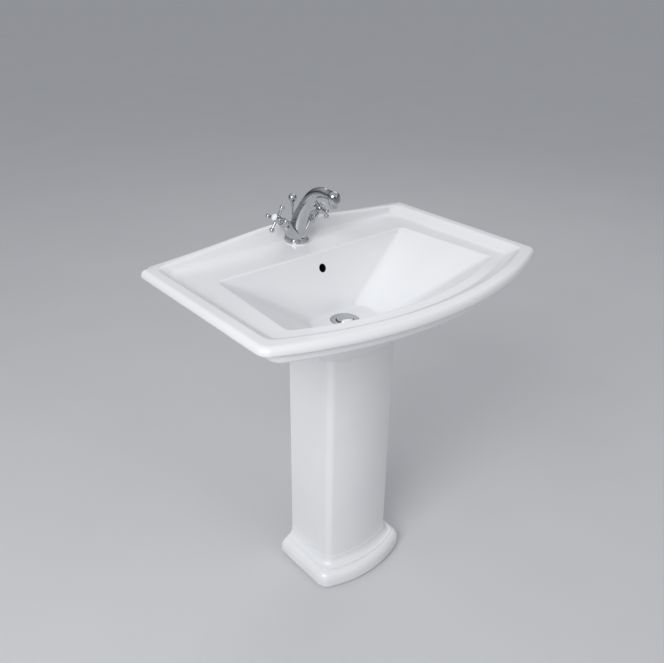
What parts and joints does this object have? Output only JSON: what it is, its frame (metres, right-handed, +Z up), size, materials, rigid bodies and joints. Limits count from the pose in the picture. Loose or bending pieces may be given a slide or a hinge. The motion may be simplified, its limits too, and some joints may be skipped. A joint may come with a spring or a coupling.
{
  "type": "pedestal sink",
  "caption": "Pedestal wash basin with a bowed front, a raised back and a sunk shelf, a hollow moulded pedestal, a cross-head mixer tap, a pop-up waste and a bottle trap.",
  "frame": {"origin": "on the floor under the middle of the basin's plan", "axes": "+Z up, +Y towards the wall, +X to the right as you face the basin"},
  "size_m": [0.75, 0.523, 0.9585],
  "materials": {
    "vitreous_china": "white fired glaze, glossy",
    "chrome": "polished chrome plate on brass",
    "brass": "turned, unplated",
    "steel": "drawn or pressed, zinc plated",
    "copper_tail": "drawn copper tube",
    "disc_ceramic": "lapped alumina",
    "rubber": "moulded, matte",
    "white_plastic": "injection moulded polypropylene"
  },
  "bodies": {
    "frame": {"basin": "vitreous_china", "pedestal": "vitreous_china", "tap_body": "chrome", "tap_base_ring": "chrome", "tap_base_seal": "rubber", "tap_fixing_stud": "steel", "tap_horseshoe_seal": "rubber", "tap_clamp_plate": "steel", "tap_fixing_nut": "brass", "hot_inlet_tail": "copper_tail", "cold_inlet_tail": "copper_tail", "spout_nozzle": "chrome", "nozzle_aerator": "white_plastic", "nozzle_seal": "rubber", "hot_valve_body": "brass", "hot_bonnet": "chrome", "hot_fixed_disc": "disc_ceramic", "cold_valve_body": "brass", "cold_bonnet": "chrome", "cold_fixed_disc": "disc_ceramic", "pivot_seat": "white_plastic", "pivot_nut": "white_plastic", "waste_flange": "chrome", "waste_flange_seal": "rubber", "waste_body": "brass", "waste_back_washer": "rubber", "waste_back_nut": "brass", "trap_inlet_nut": "white_plastic", "trap_inlet_seal": "rubber", "trap_body": "white_plastic", "trap_cup": "white_plastic", "trap_cup_seal": "rubber", "trap_outlet_nut": "white_plastic", "trap_outlet_seal": "rubber"},
    "hot_handle": {"hot_cross_handle": "chrome", "hot_handle_screw": "steel", "hot_index_cap": "vitreous_china", "hot_spindle": "brass", "hot_moving_disc": "disc_ceramic"},
    "cold_handle": {"cold_cross_handle": "chrome", "cold_handle_screw": "steel", "cold_index_cap": "vitreous_china", "cold_spindle": "brass", "cold_moving_disc": "disc_ceramic"},
    "lift": {"lift_knob": "chrome", "lift_rod": "chrome", "clevis_strap": "steel", "clevis_screw": "steel"},
    "lever": {"pop_up_lever": "steel"},
    "plug": {"waste_plug": "chrome", "plug_seal": "rubber"}
  },
  "joints": [
    {"name": "hot_turn", "type": "hinge", "parent": "frame", "child": "hot_handle", "pos_m": [0, 0.2175, 0.8325], "axis": [-0.7897, -0.1194, 0.6018], "range_deg": [0, 90]},
    {"name": "cold_turn", "type": "hinge", "parent": "frame", "child": "cold_handle", "pos_m": [0, 0.2175, 0.8325], "axis": [0.7897, -0.1194, 0.6018], "range_deg": [-90, 0]},
    {"name": "lift_slide", "type": "slide", "parent": "frame", "child": "lift", "axis": [0, 0, 1], "range_m": [0, 0.036]},
    {"name": "lever_rock", "type": "hinge", "parent": "frame", "child": "lever", "pos_m": [0, 0.0725, 0.612], "axis": [1, 0, 0], "range_deg": [0, 12.93]},
    {"name": "plug_slide", "type": "slide", "parent": "frame", "child": "plug", "axis": [0, 0, 1], "range_m": [-0.00608, 0]}
  ],
  "couplings": [
    {"joint": "lever_rock", "follows": "lift_slide", "rad_per_m": 6.2633},
    {"joint": "plug_slide", "follows": "lift_slide", "ratio": -0.16875}
  ]
}
